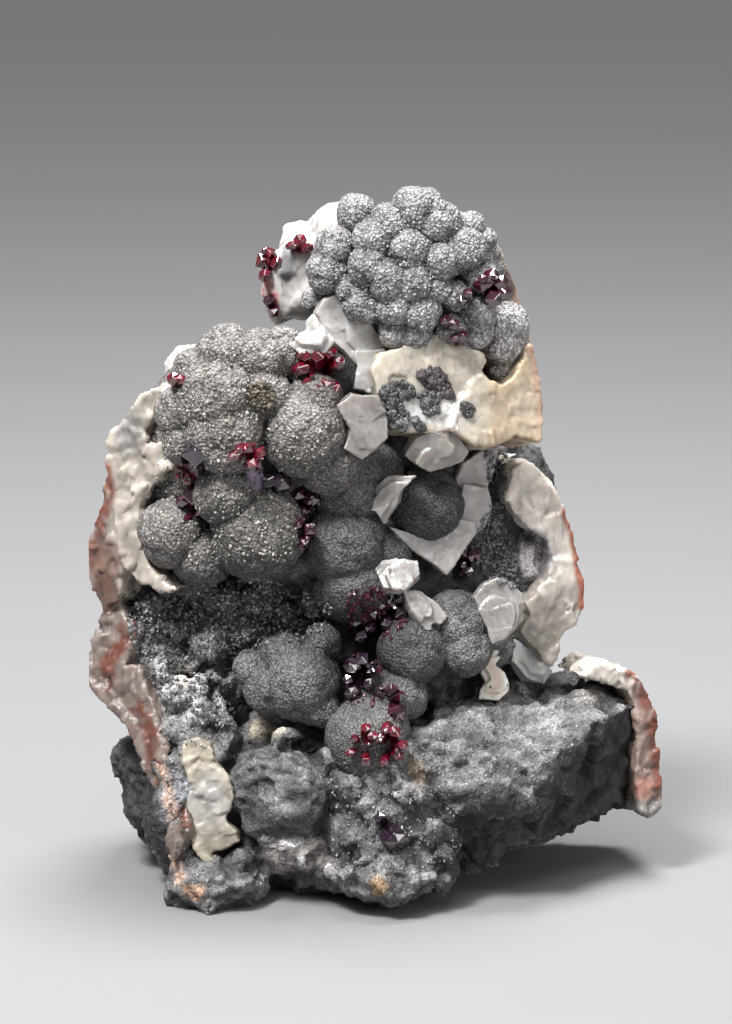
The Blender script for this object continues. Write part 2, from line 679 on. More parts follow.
def finish_piece(name, mesh, material, node, slot_name, smooth=True):
    """Shows a mesh in place of its CAD node."""
    keep_inside(mesh)
    mesh.materials.clear()
    for look in material if isinstance(material, tuple) else (material,):
        mesh.materials.append(look)
    if smooth:
        mesh.shade_smooth()
    obj = placed(name, mesh)
    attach(obj, "root")
    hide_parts(node)


def keep_tree(mesh):
    """Lets later crystals find this surface."""
    mesh.calc_loop_triangles()
    corners = [corner.co.copy() for corner in mesh.vertices]
    faces = [tuple(triangle.vertices) for triangle in mesh.loop_triangles]
    trees.append(BVHTree.FromPolygons(corners, faces))


# Materials


# Sockets of the node that mixes two colours
MIX_FIRST = 6
MIX_SECOND = 7
MIX_RESULT = 2


def new_material(name):
    material = bpy.data.materials.new(name)
    material.use_nodes = True
    return material, material.node_tree, material.node_tree.nodes["Principled BSDF"]


def node_of(tree, kind, **values):
    node = tree.nodes.new(kind)
    for name, value in values.items():
        setattr(node, name, value)
    return node


def voronoi_of(tree, places, size):
    """A Voronoi texture whose cells have this size in mm."""
    node = node_of(tree, "ShaderNodeTexVoronoi")
    node.inputs["Scale"].default_value = 1 / (size * MM)
    tree.links.new(places, node.inputs["Vector"])
    return node


def noise_of(tree, places, size, detail):
    """Soft noise with features of this size in mm."""
    node = node_of(tree, "ShaderNodeTexNoise")
    node.inputs["Scale"].default_value = 1 / (size * MM)
    node.inputs["Detail"].default_value = detail
    tree.links.new(places, node.inputs["Vector"])
    return node.outputs["Fac"]


def ranged(tree, value, low, high, new_low, new_high):
    """A number moved from one range to another."""
    node = node_of(tree, "ShaderNodeMapRange")
    tree.links.new(value, node.inputs["Value"])
    node.inputs["From Min"].default_value = low
    node.inputs["From Max"].default_value = high
    node.inputs["To Min"].default_value = new_low
    node.inputs["To Max"].default_value = new_high
    return node.outputs["Result"]


def scaled_colour(tree, colour, *factors):
    """A colour times these numbers."""
    for factor in factors:
        node = node_of(tree, "ShaderNodeMix", data_type="RGBA", blend_type="MULTIPLY")
        node.inputs["Factor"].default_value = 1
        tree.links.new(colour, node.inputs[MIX_FIRST])
        tree.links.new(factor, node.inputs[MIX_SECOND])
        colour = node.outputs[MIX_RESULT]
    return colour


def vector_math(tree, operation, first, second=None):
    """One step of arithmetic; the second value is an output or three numbers."""
    node = node_of(tree, "ShaderNodeVectorMath", operation=operation)
    tree.links.new(first, node.inputs[0])
    if isinstance(second, tuple):
        node.inputs[1].default_value = second
    elif second:
        tree.links.new(second, node.inputs[1])
    return node.outputs[0]


def bumped(tree, height, distance, normal=None):
    """A bump of this distance in mm."""
    node = node_of(tree, "ShaderNodeBump")
    node.inputs["Strength"].default_value = 1
    node.inputs["Distance"].default_value = distance * MM
    tree.links.new(height, node.inputs["Height"])
    if normal:
        tree.links.new(normal, node.inputs["Normal"])
    return node.outputs["Normal"]


def glinting(tree, places, size, strength, normal):
    """Turns each small cell its own way, so that single cells catch the light."""
    cells = voronoi_of(tree, places, size).outputs["Color"]
    centred = vector_math(tree, "SUBTRACT", cells, (0.5, 0.5, 0.5))
    turned = vector_math(tree, "MULTIPLY", centred, (strength, strength, strength))
    return vector_math(tree, "NORMALIZE", vector_math(tree, "ADD", normal, turned))


def tinted_material(name):
    """A material that reads each point's stored colour."""
    material, tree, shader = new_material(name)
    places = node_of(tree, "ShaderNodeTexCoord").outputs["Object"]
    tint = node_of(tree, "ShaderNodeAttribute", attribute_name="tint").outputs["Color"]
    return material, tree, shader, places, tint


def finished(material, tree, shader, colour, normal, roughness, metallic=0.0):
    tree.links.new(colour, shader.inputs["Base Color"])
    tree.links.new(normal, shader.inputs["Normal"])
    shader.inputs["Roughness"].default_value = roughness
    shader.inputs["Metallic"].default_value = metallic
    return material


def grain_material(name, grain, bump, roughness, metallic, glint):
    """A matte crust of small round grains of uneven brightness, tinted point by point."""
    material, tree, shader, places, tint = tinted_material(name)
    cells = voronoi_of(tree, places, grain)
    creases = ranged(tree, cells.outputs["Distance"], 0.3, 0.75, 1.1, 0.42)
    each = ranged(tree, cells.outputs["Color"], 0.2, 0.8, 0.72, 1.32)
    fine = ranged(tree, noise_of(tree, places, grain * 1.3, 5), 0.35, 0.65, 0.75, 1.25)
    colour = scaled_colour(tree, tint, creases, each, fine)
    tops = ranged(tree, cells.outputs["Distance"], 0.0, 0.8, 1.0, 0.0)
    normal = bumped(tree, tops, bump)
    normal = bumped(tree, noise_of(tree, places, grain * 0.6, 4), bump * 0.6, normal)
    normal = glinting(tree, places, grain * 0.5, glint, normal)
    return finished(material, tree, shader, colour, normal, roughness, metallic)


def rock_material():
    """Broken rock with light and dark specks and many small glints."""
    material, tree, shader, places, tint = tinted_material("rock_look")
    blotches = ranged(tree, noise_of(tree, places, 1.8, 7), 0.36, 0.64, 0.5, 1.5)
    specks = voronoi_of(tree, places, 0.22)
    bright = ranged(tree, specks.outputs["Color"], 0.2, 0.85, 0.7, 1.35)
    sand = noise_of(tree, places, 0.3, 6)
    shades = ranged(tree, sand, 0.36, 0.64, 0.62, 1.3)
    colour = scaled_colour(tree, tint, blotches, bright, shades)
    coarse = bumped(tree, noise_of(tree, places, 1.1, 10), 0.35)
    fine = bumped(tree, sand, 0.22, coarse)
    normal = glinting(tree, places, 0.15, 0.16, fine)
    return finished(material, tree, shader, colour, normal, 0.62)


def druse_material(name, roughness, metallic):
    """Small bright-faced grains."""
    material, tree, shader, places, tint = tinted_material(name)
    cells = voronoi_of(tree, places, 0.3)
    each = ranged(tree, cells.outputs["Color"], 0.2, 0.8, 0.5, 1.7)
    normal = bumped(tree, noise_of(tree, places, 0.2, 3), 0.03)
    return finished(material, tree, shader, scaled_colour(tree, tint, each), normal, roughness, metallic)


def calcite_material(name, roughness, depth, cloudiness, clear=0.0, inside=0.6):
    """Cloudy crystal; depth is how far light spreads inside in mm, and inside is the share that does."""
    material, tree, shader, places, tint = tinted_material(name)
    clouds = noise_of(tree, places, 2.2, 6)
    clouds = ranged(tree, clouds, 0.32, 0.68, 1 - cloudiness, 1 + 0.3 * cloudiness)
    colour = scaled_colour(tree, tint, clouds)
    stretched = vector_math(tree, "MULTIPLY", places, (1, 1, 0.25))
    normal = bumped(tree, noise_of(tree, stretched, 0.45, 4), 0.07)
    shader.inputs["IOR"].default_value = 1.6
    shader.inputs["Subsurface Weight"].default_value = inside
    shader.inputs["Subsurface Radius"].default_value = (depth * MM, depth * MM * 0.8, depth * MM * 0.65)
    shader.inputs["Subsurface Scale"].default_value = 1
    shader.inputs["Transmission Weight"].default_value = clear
    return finished(material, tree, shader, colour, normal, roughness)


def proustite_material(name, colour, clear, roughness):
    """Clear crystal of high refraction whose colour changes inside it."""
    material, tree, shader = new_material(name)
    places = node_of(tree, "ShaderNodeTexCoord").outputs["Object"]
    patches = ranged(tree, noise_of(tree, places, 0.6, 3), 0.35, 0.65, 0.25, 1.8)
    base = node_of(tree, "ShaderNodeRGB")
    base.outputs[0].default_value = (*colour, 1)
    tree.links.new(scaled_colour(tree, base.outputs[0], patches), shader.inputs["Base Color"])
    shader.inputs["Roughness"].default_value = roughness
    shader.inputs["IOR"].default_value = 2.3
    shader.inputs["Transmission Weight"].default_value = clear
    return material


# The matrix


# Blocks and lumps from this row down belong to the ledge
LEDGE_ROW = 700

# Colours are linear red, green and blue
ROCK_GREY = (0.082, 0.079, 0.078)
LEDGE_DARK = (0.018, 0.017, 0.017)
SEAM_BROWN = (0.30, 0.19, 0.135)
RUST = (0.15, 0.034, 0.014)
ROSE = (0.165, 0.108, 0.094)
CREAM = (0.36, 0.32, 0.275)
WHITE = (0.54, 0.52, 0.495)
HONEY = (0.34, 0.27, 0.185)
SOOT = (0.012, 0.012, 0.014)
ASH = (0.135, 0.13, 0.129)

# Dark places of the front view: centre column and row, half width, half height, strength
DARK_PLACES = [
    (370, 640, 52, 46, 0.9), (215, 615, 66, 42, 0.7), (505, 545, 36, 78, 0.6), (430, 545, 60, 60, 0.45),
    (345, 382, 32, 36, 0.95), (420, 500, 42, 40, 0.5), (290, 612, 50, 34, 0.85), (150, 610, 34, 34, 0.75),
    (600, 765, 48, 50, 0.75), (540, 822, 70, 24, 0.6), (315, 806, 22, 22, 0.6), (395, 832, 30, 14, 0.7),
    (350, 665, 34, 40, 0.8), (530, 456, 26, 22, 0.65), (350, 545, 50, 60, 0.2), (262, 398, 16, 18, 0.8),
    (138, 790, 28, 80, 0.85), (480, 590, 30, 24, 0.4), (262, 826, 40, 18, 0.6), (250, 862, 46, 14, 0.55),
    (205, 700, 30, 10, 0.3), (215, 730, 14, 10, 0.6), (455, 792, 26, 8, 0.7),
]
# Places of other colours on the rock: centre column and row, half width, half height, strength, colour
STAINS = [
    (298, 854, 32, 15, 1.0, (0.80, 0.72, 0.70)), (267, 765, 42, 30, 0.75, (0.082, 0.08, 0.081)),
    (535, 552, 17, 28, 1.0, (0.40, 0.365, 0.385)), (264, 728, 18, 10, 0.8, (0.36, 0.315, 0.235)),
    (190, 682, 38, 48, 0.75, (0.30, 0.29, 0.285)), (182, 676, 10, 12, 0.5, (0.45, 0.41, 0.34)),
    (167, 640, 12, 10, 0.5, (0.40, 0.40, 0.36)), (378, 887, 9, 12, 0.6, (0.33, 0.20, 0.09)),
    (193, 890, 12, 8, 0.9, (0.34, 0.20, 0.12)), (418, 768, 8, 12, 0.5, (0.25, 0.17, 0.08)),
    (175, 790, 14, 20, 0.6, (0.16, 0.17, 0.19)), (352, 836, 26, 28, 0.7, (0.085, 0.084, 0.086)),
    (565, 815, 9, 5, 0.15, (0.12, 0.2, 0.17)), (540, 735, 40, 18, 0.3, (0.22, 0.22, 0.22)),
    (600, 690, 30, 14, 0.4, (0.30, 0.28, 0.26)), (375, 782, 32, 24, 0.5, (0.26, 0.25, 0.25)),
]
# The face of the ledge that has a darker colour
LEDGE_SHADE = [
    (637, 704), (594, 722), (588, 738), (560, 768), (528, 797), (505, 782), (478, 784), (468, 802),
    (430, 850), (440, 885), (545, 842), (600, 826), (644, 808), (640, 760),
]
# Layers of the dome at the lower left, as lines of the front view, and its outline
DOME_CRACKS = [
    [(230, 756), (250, 747), (276, 745), (300, 754)],
    [(226, 768), (250, 757), (282, 756), (312, 770)],
    [(234, 778), (258, 768), (292, 771), (320, 788)],
    [(246, 786), (268, 780), (300, 786)],
    [(232, 800), (262, 806), (296, 800)],
]
DOME_OUTLINE = [
    (238, 838), (224, 815), (222, 775), (236, 748), (268, 738), (304, 745), (328, 768), (334, 800),
    (318, 832),
]
# The thin stained seam that the rock shows down its left edge
SEAM = [(150, 700), (158, 750), (166, 790), (178, 820), (172, 850), (180, 880), (192, 895)]


def rock_tint(mesh):
    """Grey that is lighter on top faces, with dark crusts, stains and a seam."""
    points, normals = points_of(mesh), normals_of(mesh)
    true_columns, true_rows = pixels_of(points)
    columns = true_columns + smooth_noise(points, 2.0, 71) * 9
    rows = true_rows + smooth_noise(points, 2.0, 75) * 9
    colours = np.tile(np.array(ROCK_GREY), (len(points), 1))
    upward = soft_step(normals[:, 2] - 0.35 * normals[:, 1] - 0.3 * normals[:, 0], -0.1, 0.95)
    colours = mixed(colours, ASH, 0.75 * upward)
    colours *= (1 + 0.4 * smooth_noise(points, 3.5, 81))[:, None]
    front = soft_step(-normals[:, 1] + normals[:, 2], -0.6, 0.2)
    for column, row, half_width, half_height, strength in DARK_PLACES:
        share = patch(columns, rows, (column, row), (half_width, half_height), 0.5)
        colours = mixed(colours, SOOT, share * strength * front)
    for column, row, half_width, half_height, strength, colour in STAINS:
        share = patch(columns, rows, (column, row), (half_width, half_height), 0.2)
        colours = mixed(colours, colour, share * strength * front)
    near_columns = true_columns + (columns - true_columns) * 0.15
    near_rows = true_rows + (rows - true_rows) * 0.15
    colours = mixed(colours, LEDGE_DARK, within(near_columns, near_rows, LEDGE_SHADE) * front * 0.9)
    broken = soft_step(smooth_noise(points, 1.6, 16), -0.2, 0.2)
    ragged = true_rows + smooth_noise(points, 1.5, 17) * 4
    for arc in DOME_CRACKS:
        colours = mixed(colours, SOOT, near_line(true_columns, ragged, arc, 2.4) * (0.5 + 0.4 * broken))
    colours = mixed(colours, SOOT, near_line(near_columns, near_rows, DOME_OUTLINE, 8) * front * 0.6)
    seam = near_line(columns, rows, SEAM, 7) * front * soft_step(smooth_noise(points, 1.5, 82), -0.5, 0.0)
    colours = mixed(colours, SEAM_BROWN, seam * 0.8)
    return shaded(mesh, colours, 0.9)


def roughen_rock(mesh, lower):
    """Broken faces, layers on the lower dome and small grains."""
    points = points_of(mesh)
    columns, rows = pixels_of(points)
    smooth = 1 - 0.3 * patch(columns, rows, (275, 785), (46, 46), 0.2) * lower
    faces = chips(points, 4.2, 11) * 0.75 + chips(points, 1.8, 12) * 0.3
    push_out(mesh, smooth * (faces + smooth_noise(points, 1.2, 13) * 0.15))
    points = points_of(mesh)
    heights = (grains(points, 0.8, 14) * 0.05 + chips(points, 0.8, 15) * 0.12) * smooth
    if lower:
        columns, rows = pixels_of(points)
        broken = soft_step(smooth_noise(points, 1.6, 16), -0.2, 0.2)
        ragged = rows + smooth_noise(points, 1.5, 17) * 4
        for arc in DOME_CRACKS:
            heights -= near_line(columns, ragged, arc, 3) * (0.4 + 0.6 * broken) * 0.25
        heights -= near_line(columns, rows, DOME_OUTLINE, 8) * 0.5
    push_out(mesh, heights)


def ledge_hull(bm):
    """The ledge, as the hull of its corners."""
    corners = [bm.verts.new(seen_at(*corner)) for corner in LEDGE_CORNERS]
    hull = bmesh.ops.convex_hull(bm, input=corners)
    unused = [part for part in hull["geom_interior"] if isinstance(part, bmesh.types.BMVert)]
    bmesh.ops.delete(bm, geom=unused, context="VERTS")


def lump_centres():
    """Where the lumps sit on the bare blocks."""
    bare = blocks_mesh(ROCK_BLOCKS)
    ledge_hull(bare)
    trees.append(BVHTree.FromBMesh(bare))
    centres = [
        surface_at(column, row) + FORWARD * LUMP_SINK * radius * PIXEL
        for column, row, radius in LUMPS
    ]
    trees.clear()
    bare.free()
    return centres


def build_rock():
    material = rock_material()
    blocks = list(enumerate(ROCK_BLOCKS))
    lumps = list(zip(LUMPS, lump_centres()))
    for name, lower, voxel in (("rock_ledge", True, 0.36), ("rock_wall", False, 0.5)):
        bm = bmesh.new()
        for number, (column, row, depth, half_sizes, lean) in blocks:
            if (row >= LEDGE_ROW) == lower:
                add_block(bm, seen_at(column, row, depth), half_sizes, lean, number)
        for (_, row, radius), centre in lumps:
            if (row >= LEDGE_ROW) == lower:
                add_lobe(bm, centre, radius * PIXEL, 3)
        if lower:
            ledge_hull(bm)
        mesh = fused(name, bm, voxel, roughness=(5, 2.2))
        roughen_rock(mesh, lower)
        set_tint(mesh, rock_tint(mesh))
        finish_piece(name, mesh, material, "matrix_rock", "rock")
        keep_tree(mesh)


# Arsenic


# Places of the arsenic that are lighter or darker: centre, half sizes and the change
ARSENIC_SHADES = [
    ((506, 338), (26, 40), 1.2), ((405, 318), (50, 28), 0.45), ((250, 550), (60, 60), -0.35),
]


def arsenic_tint(mesh, base, dark):
    """Grey that is lighter on top faces, with dark crusts."""
    points, normals = points_of(mesh), normals_of(mesh)
    columns, rows = pixels_of(points)
    colours = np.tile(np.array(base), (len(points), 1))
    colours *= (1 + 0.25 * smooth_noise(points, 3, 91))[:, None]
    upward = soft_step(normals[:, 2] - 0.4 * normals[:, 1], -0.7, 0.9)
    colours *= (0.7 + 0.18 * upward)[:, None]
    for centre, half_sizes, change in ARSENIC_SHADES:
        colours *= (1 + change * patch(columns, rows, centre, half_sizes, 0.5))[:, None]
    ragged = smooth_noise(points, 1.6, 92) * 8
    for column, row, half_width, half_height, strength in DARK_PLACES:
        share = patch(columns + ragged, rows - ragged, (column, row), (half_width, half_height), 0.5)
        colours = mixed(colours, SOOT, share * strength * dark)
    return shaded(mesh, colours, 1.5)


def build_arsenic():
    crown_look = grain_material("crown_grain", 0.34, 0.2, 0.6, 0.05, 0.09)
    shoulder_look = grain_material("shoulder_grain", 0.36, 0.2, 0.62, 0.05, 0.09)
    nodule_look = grain_material("nodule_grain", 0.28, 0.16, 0.58, 0.05, 0.1)
    cool = (0.215, 0.207, 0.204)
    warm = (0.17, 0.158, 0.148)
    dull = (0.125, 0.12, 0.119)
    # Name, shape, voxel in mm, material, colour, height of the knobs in mm, share of the dark crusts
    masses = [
        ("crown", dome_mesh(CROWN_DOME, CROWN_LOBES), 0.23, crown_look, cool, 0.24, 0.5),
        ("shoulder", dome_mesh(SHOULDER_DOME, SHOULDER_LOBES), 0.26, shoulder_look, warm, 0.22, 0.6),
        ("nodules_upper", nodules_mesh(UPPER_NODULES), 0.25, nodule_look, dull, 0.18, 1.0),
        ("nodules_centre", nodules_mesh(CENTRE_NODULES), 0.25, nodule_look, dull, 0.2, 1.0),
        ("nodules_left", nodules_mesh(LEFT_NODULES), 0.25, nodule_look, dull, 0.22, 0.8),
        ("nodules_right", nodules_mesh(RIGHT_NODULES), 0.25, nodule_look, dull, 0.22, 0.8),
    ]
    for place, bm, voxel, material, base, knob, dark in masses:
        name = f"arsenic_{place}"
        mesh = fused(name, bm, voxel)
        points = points_of(mesh)
        push_out(mesh, (grains(points, 2.1, 21) - 0.5) * 2 * knob + smooth_noise(points, 3.5, 22) * 0.35)
        points = points_of(mesh)
        push_out(mesh, grains(points, 0.95, 23) * 0.6 * knob + grains(points, 0.42, 24) * 0.11)
        set_tint(mesh, arsenic_tint(mesh, base, dark))
        finish_piece(name, mesh, material, name, "arsenic")
        keep_tree(mesh)


# Calcite masses


# Rusty and red lines of the front view
LEFT_RIM = [(106, 470), (108, 490), (104, 510), (97, 530), (90, 560)]
RUST_STREAKS = [
    (131, 622), (122, 645), (108, 660), (112, 685), (135, 705), (150, 735), (155, 770), (172, 800),
    (184, 825),
]
RIGHT_RIM = [(566, 512), (573, 530), (577, 550), (579, 570), (584, 590), (583, 606)]
LEDGE_TIP_RIM = [(634, 674), (643, 690), (650, 705), (655, 722), (660, 755), (664, 800)]
HONEY_EDGE = [(508, 272), (530, 320), (540, 370), (546, 420)]
CROWN_EDGE = [(274, 236), (267, 252), (265, 275), (270, 292), (274, 312)]


def plain_tint(points, colour, seed, change=0.12):
    """One colour that is a little lighter here and darker there."""
    return np.tile(np.array(colour), (len(points), 1)) * (1 + change * smooth_noise(points, 2, seed))[:, None]


def vein_tint(points):
    columns, rows = pixels_of(points)
    wander = smooth_noise(points, 2.2, 41) * 6
    colours = plain_tint(points, CREAM, 40)
    grey = patch(columns + wander, rows + wander, (128, 432), (15, 22), 0.4)
    grey = np.maximum(grey, patch(columns + wander, rows, (95, 525), (13, 22), 0.4))
    colours = mixed(colours, (0.20, 0.20, 0.20), grey * 0.75)
    streaks = soft_step(smooth_noise(points * np.array([1, 1, 0.3]), 1.1, 42), 0.1, 0.35)
    colours = mixed(colours, (0.40, 0.37, 0.33), streaks * 0.5)
    low = soft_step(rows, 595, 615)
    colours = mixed(colours, ROSE, low * (0.6 + 0.35 * streaks))
    rust = near_line(columns + wander, rows, RUST_STREAKS, 11)
    rust = np.maximum(rust, near_line(columns + wander * 0.6, rows, LEFT_RIM, 11))
    rust *= soft_step(smooth_noise(points, 1.6, 43), -0.45, 0.05)
    colours = mixed(colours, RUST, rust * 0.9)
    slate = soft_step(smooth_noise(points * np.array([1, 1, 0.4]), 1.4, 44), 0.2, 0.4) * low
    colours = mixed(colours, (0.09, 0.075, 0.07), slate * 0.6)
    block = patch(columns + wander, rows + wander, (102, 562), (17, 26), 0.4)
    colours = mixed(colours, (0.15, 0.075, 0.055), block * 0.85)
    foot = patch(columns + wander * 0.6, rows, (104, 596), (16, 20), 0.3)
    colours = mixed(colours, (0.09, 0.035, 0.02), foot * 0.85)
    colours *= (1 - 0.33 * low)[:, None]
    side = soft_step(points[:, 1] / MM, -1.0, 4.0)
    return mixed(colours, (0.24, 0.16, 0.12), side * 0.6)


def wall_tint(points):
    columns, rows = pixels_of(points)
    wander = smooth_noise(points, 1.6, 51) * 5
    colours = plain_tint(points, (0.58, 0.53, 0.475), 52)
    gneiss = patch(columns + wander, rows + wander, (535, 552), (20, 26), 0.35)
    specks = soft_step(smooth_noise(points, 0.7, 54), -0.3, 0.3)
    colours = mixed(colours, (0.22, 0.215, 0.24), gneiss * (0.5 + 0.45 * specks))
    low = patch(columns + wander, rows + wander, (545, 632), (24, 26), 0.5)
    colours = mixed(colours, (0.25, 0.22, 0.18), low * 0.75)
    colours *= (1 - 0.42 * soft_step(rows, 555, 605))[:, None]
    cracks = soft_step(smooth_noise(points * np.array([1, 1, 0.25]), 0.8, 55), 0.3, 0.45)
    colours = mixed(colours, (0.25, 0.23, 0.21), cracks * 0.5)
    rim = near_line(columns + wander * 0.4, rows, RIGHT_RIM, 7)
    return mixed(colours, (0.25, 0.07, 0.03), rim * 0.95)


def patch_tint(points):
    columns, rows = pixels_of(points)
    wander = smooth_noise(points, 1.5, 67) * 8
    colours = plain_tint(points, (0.28, 0.25, 0.195), 68, 0.3)
    middle = patch(columns + wander, rows + wander, (208, 800), (22, 30), 0.4)
    colours = mixed(colours, (0.32, 0.305, 0.29), middle * 0.85)
    veins = soft_step(smooth_noise(points * np.array([1, 1, 0.4]), 0.9, 69), 0.2, 0.4)
    return mixed(colours, (0.17, 0.15, 0.12), veins * 0.6)


def rim_tint(points):
    columns, rows = pixels_of(points)
    wander = smooth_noise(points, 1.2, 56) * 4
    colours = plain_tint(points, (0.235, 0.17, 0.145), 57)
    pale = soft_step(-rows, -705, -685)
    colours = mixed(colours, (0.50, 0.46, 0.41), pale * 0.9)
    rim = near_line(columns + wander * 0.6, rows, LEDGE_TIP_RIM, 13)
    colours = mixed(colours, RUST, rim * 0.95 * soft_step(smooth_noise(points, 1.3, 58), -0.6, -0.1))
    flush = patch(columns, rows, (643, 790), (9, 14), 0.4)
    colours = mixed(colours, (0.50, 0.22, 0.16), flush * 0.6)
    knob = soft_step(rows, 795, 803)
    return mixed(colours, (0.20, 0.19, 0.18), knob * 0.85)


def honey_tint(points):
    columns, rows = pixels_of(points)
    wander = smooth_noise(points, 2.0, 61) * 9
    colours = plain_tint(points, HONEY, 62)
    white = soft_step(-(columns + wander), -475, -455) * soft_step(rows + wander, 385, 405)
    cream = soft_step(-(columns + 3 * wander), -500, -465) * (1 - white)
    colours = mixed(colours, (0.42, 0.385, 0.325), cream * 0.85)
    colours = mixed(colours, WHITE, white * soft_step(-(rows + wander), -436, -424))
    pink = near_line(columns + wander * 0.5, rows, HONEY_EDGE, 13)
    colours = mixed(colours, (0.30, 0.18, 0.14), pink * 0.6)
    colours = mixed(colours, (0.05, 0.035, 0.04), patch(columns, rows, (507, 284), (9, 16), 0.4) * 0.85)
    return mixed(colours, (0.40, 0.34, 0.26), patch(columns, rows, (523, 405), (15, 25), 0.5) * 0.6)


def crown_back_tint(points):
    columns, rows = pixels_of(points)
    wander = smooth_noise(points, 1.4, 63) * 5
    colours = plain_tint(points, (0.44, 0.42, 0.405), 64)
    red = near_line(columns + wander, rows, CROWN_EDGE, 9)
    red *= soft_step(smooth_noise(points, 0.9, 65), -0.4, 0.0)
    wedge = patch(columns + wander * 0.5, rows + wander * 0.5, (301, 247), (9, 7), 0.3)
    grey = patch(columns + wander, rows - wander, (286, 264), (8, 20), 0.4)
    colours = mixed(colours, (0.10, 0.10, 0.11), grey * 0.85)
    colours = mixed(colours, (0.26, 0.012, 0.03), np.maximum(red * 0.9, wedge))
    return mixed(colours, (0.56, 0.45, 0.26), soft_step(columns, 470, 492) * 0.8)


def left_top_tint(points):
    return plain_tint(points, WHITE, 66)


def break_up(mesh, size, height, seed):
    """Cleavage faces with small steps."""
    points = points_of(mesh)
    push_out(mesh, chips(points, size, seed) * height + smooth_noise(points, size, seed + 3) * height * 0.7)
    points = points_of(mesh)
    striped = points * np.array([1, 1, 0.3])
    steps = chips(points, size * 0.5, seed + 1) * height * 0.3
    push_out(mesh, steps + chips(striped, size * 0.2, seed + 2) * 0.06)


def build_calcite():
    white = calcite_material("white_calcite", 0.35, 1.2, 0.2)
    cream = calcite_material("cream_calcite", 0.45, 0.5, 0.35, inside=0.2)
    honey = calcite_material("honey_calcite", 0.36, 1.8, 0.2, inside=0.85)
    # Name, shape, voxel in mm, roughness, size and height of the steps in mm, material, colours, slot
    plain, stained, golden = "calcite", "stained_calcite", "honey_calcite"
    masses = [
        ("crown_back", blocks_mesh(CROWN_CALCITE), 0.34, (3, 1.0), 2.4, 0.16, white, crown_back_tint, plain),
        ("right_wall", slabs_mesh(RIGHT_WALL), 0.28, (4, 0.8), 2.6, 0.22, white, wall_tint, plain),
        ("left_vein", slabs_mesh(LEFT_VEIN), 0.3, (4, 0.8), 2.0, 0.3, cream, vein_tint, stained),
        ("left_top", blocks_mesh(LEFT_TOP_CALCITE), 0.28, (3, 0.8), 2.0, 0.12, white, left_top_tint, plain),
        ("lower_patch", slabs_mesh(LOWER_PATCH), 0.24, (3, 0.5), 2.0, 0.2, cream, patch_tint, plain),
        ("ledge_rim", slabs_mesh(LEDGE_RIM), 0.25, (3, 0.5), 2.0, 0.28, cream, rim_tint, stained),
        ("honey_wedge", slabs_mesh(HONEY_CALCITE), 0.26, (4, 0.7), 2.2, 0.13, honey, honey_tint, golden),
    ]
    for number, (place, bm, voxel, roughness, size, height, material, tint, slot_name) in enumerate(masses):
        name = f"calcite_{place}"
        mesh = fused(name, bm, voxel, roughness)
        break_up(mesh, size, height, 100 + 10 * number)
        set_tint(mesh, shaded(mesh, tint(points_of(mesh)), 0.7, 25))
        finish_piece(name, mesh, material, name, slot_name)
        keep_tree(mesh)


# Blades


# Smaller plates that overlap on the front of the larger blades
BLADE_PLATES = {
    "calcite_blade_long": [
        [(463, 464), (480, 452), (498, 446), (495, 470), (488, 488), (470, 492), (458, 478)],
        [(464, 484), (488, 487), (493, 504), (486, 528), (473, 536), (462, 525), (460, 505)],
        [(389, 526), (406, 532), (430, 537), (445, 524), (458, 518), (474, 522), (478, 532), (468, 545),
         (458, 560), (447, 575), (432, 563), (418, 554), (402, 541)],
    ],
    "calcite_blade_curved": [
        [(316, 313), (323, 300), (336, 295), (350, 312), (352, 326), (334, 334), (322, 325)],
        [(346, 310), (371, 324), (390, 346), (384, 358), (360, 356), (347, 342)],
        [(358, 366), (352, 352), (385, 348), (400, 368), (397, 391), (376, 394), (354, 389)],
    ],
    "calcite_blade_middle": [
        [(337, 405), (352, 394), (378, 396), (386, 412), (366, 426), (345, 420)],
        [(347, 422), (366, 414), (388, 420), (388, 438), (376, 449), (360, 448)],
        [(344, 448), (350, 432), (366, 438), (374, 450), (363, 460)],
    ],
}


BLADE_COLOUR = (0.44, 0.415, 0.395)
# Blades of another colour
BLADE_COLOURS = {
    "calcite_blade_pointed": (0.66, 0.635, 0.61),
    "calcite_blade_curved": (0.66, 0.635, 0.615),
    "calcite_blade_long": (0.60, 0.56, 0.54),
    "calcite_blade_low": (0.9, 0.87, 0.84),
    "calcite_blade_disc": (0.38, 0.36, 0.345),
    "calcite_blade_middle": (0.32, 0.295, 0.28),
    "calcite_blade_round": (0.40, 0.37, 0.345),
    "calcite_hook": (0.95, 0.83, 0.72),
}


def shrunk(outline, centre, share):
    """A smaller copy of an outline around a centre."""
    return [
        (centre[0] + (column - centre[0]) * share, centre[1] + (row - centre[1]) * share)
        for column, row in outline
    ]


def blade_solid(name, number, outline, anchor, stand_off, facing, thickness):
    """A plate of this outline with smaller ones stepped on its front."""
    normal = Vector(facing).normalized()
    touched = surface_at(*anchor) - FORWARD * stand_off * MM
    source = random.Random(number + 3)
    bm = bmesh.new()
    add_plate(bm, outline, touched - normal * 0.3 * MM, normal, thickness - 0.3)
    plates = BLADE_PLATES.get(name)
    if not plates:
        corners = (outline[source.randrange(len(outline))], outline[source.randrange(len(outline))])
        plates = [shrunk(outline, corner, source.uniform(0.55, 0.8)) for corner in corners]
    for step, plate in enumerate(plates):
        lean = Vector((source.uniform(-0.2, 0.2), 0, source.uniform(-0.2, 0.2)))
        column = sum(column for column, _ in plate) / len(plate)
        row = sum(row for _, row in plate) / len(plate)
        middle = seen_on_plane(column, row, touched + normal * (0.05 + 0.2 * step) * MM, normal)
        add_plate(bm, plate, middle, (normal + lean).normalized(), 0.8)
    bmesh.ops.recalc_face_normals(bm, faces=bm.faces)
    return bm


